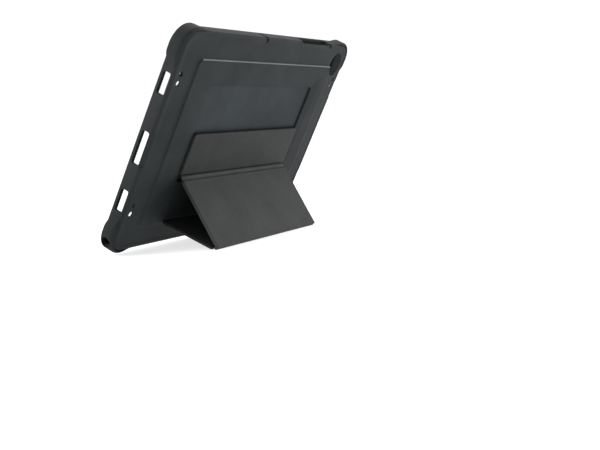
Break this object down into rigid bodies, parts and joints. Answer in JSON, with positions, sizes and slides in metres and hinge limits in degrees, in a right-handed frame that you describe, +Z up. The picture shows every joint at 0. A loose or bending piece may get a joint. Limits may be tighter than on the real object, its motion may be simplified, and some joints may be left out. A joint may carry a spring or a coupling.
{
  "type": "tablet case",
  "caption": "Rugged soft case for a 10.4-inch tablet, with corner bumpers, shock pads and a folding back stand, standing in landscape.",
  "frame": {"origin": "middle of the footprint box, on the surface the case stands on", "axes": "+X right as seen from the open screen side, -Y towards the viewer of the screen, +Z up"},
  "size_m": [0.261, 0.0842, 0.1559],
  "materials": {
    "shell": "satin moulded soft plastic, dark charcoal",
    "bumper": "matte moulded soft plastic, dark charcoal",
    "strip": "satin grey",
    "centre_plate": "smooth grey, slightly glossy",
    "pad_cap": "light blue gel, satin",
    "pad_base": "dark blue, satin",
    "leather": "fine-grained imitation leather, dark grey",
    "lining": "fine brushed lining, near black",
    "board": "pressed fibreboard",
    "tape": "white foam mounting tape",
    "steel": "plated"
  },
  "bodies": {
    "case": {"corner_bumper_top_right": "bumper", "corner_strip_top_right": "strip", "pad_base_top_right": "pad_base", "pad_cap_top_right": "pad_cap", "corner_bumper_top_left": "bumper", "corner_strip_top_left": "strip", "pad_base_top_left": "pad_base", "pad_cap_top_left": "pad_cap", "corner_bumper_bottom_left": "bumper", "corner_strip_bottom_left": "strip", "pad_base_bottom_left": "pad_base", "pad_cap_bottom_left": "pad_cap", "corner_bumper_bottom_right": "bumper", "corner_strip_bottom_right": "strip", "pad_base_bottom_right": "pad_base", "pad_cap_bottom_right": "pad_cap", "shell": "shell", "floor_ring": "strip", "centre_plate": "centre_plate", "keeper_plate_left": "steel", "keeper_plate_right": "steel", "fixed_panel_cover": "leather", "fixed_panel_board": "board", "fixed_panel_lining": "lining", "mounting_tape": "tape"},
    "spine": {"spine_strip": "leather"},
    "leg": {"leg_cover": "leather", "leg_board": "board", "leg_lining": "lining", "foot_hinge": "leather"},
    "base_panel": {"base_cover": "leather", "base_board": "board", "base_lining": "lining", "tip_magnet_left": "steel", "tip_magnet_right": "steel"}
  },
  "joints": [
    {"name": "leg_fold", "type": "hinge", "parent": "case", "child": "leg", "pos_m": [0, -0.00162, 0.05077], "axis": [1, 0, 0], "range_deg": [0, 123.7]},
    {"name": "spine_fold", "type": "hinge", "parent": "case", "child": "spine", "pos_m": [0, -0.00328, 0.05253], "axis": [1, 0, 0], "range_deg": [0, 40]},
    {"name": "base_fold", "type": "hinge", "parent": "leg", "child": "base_panel", "pos_m": [0, 0.02315, 0.00125], "axis": [-1, 0, 0], "range_deg": [0, 36.44]}
  ],
  "couplings": [
    {"joint": "spine_fold", "follows": "leg_fold", "ratio": 0.3233},
    {"joint": "base_fold", "follows": "leg_fold", "ratio": 0.2938}
  ]
}
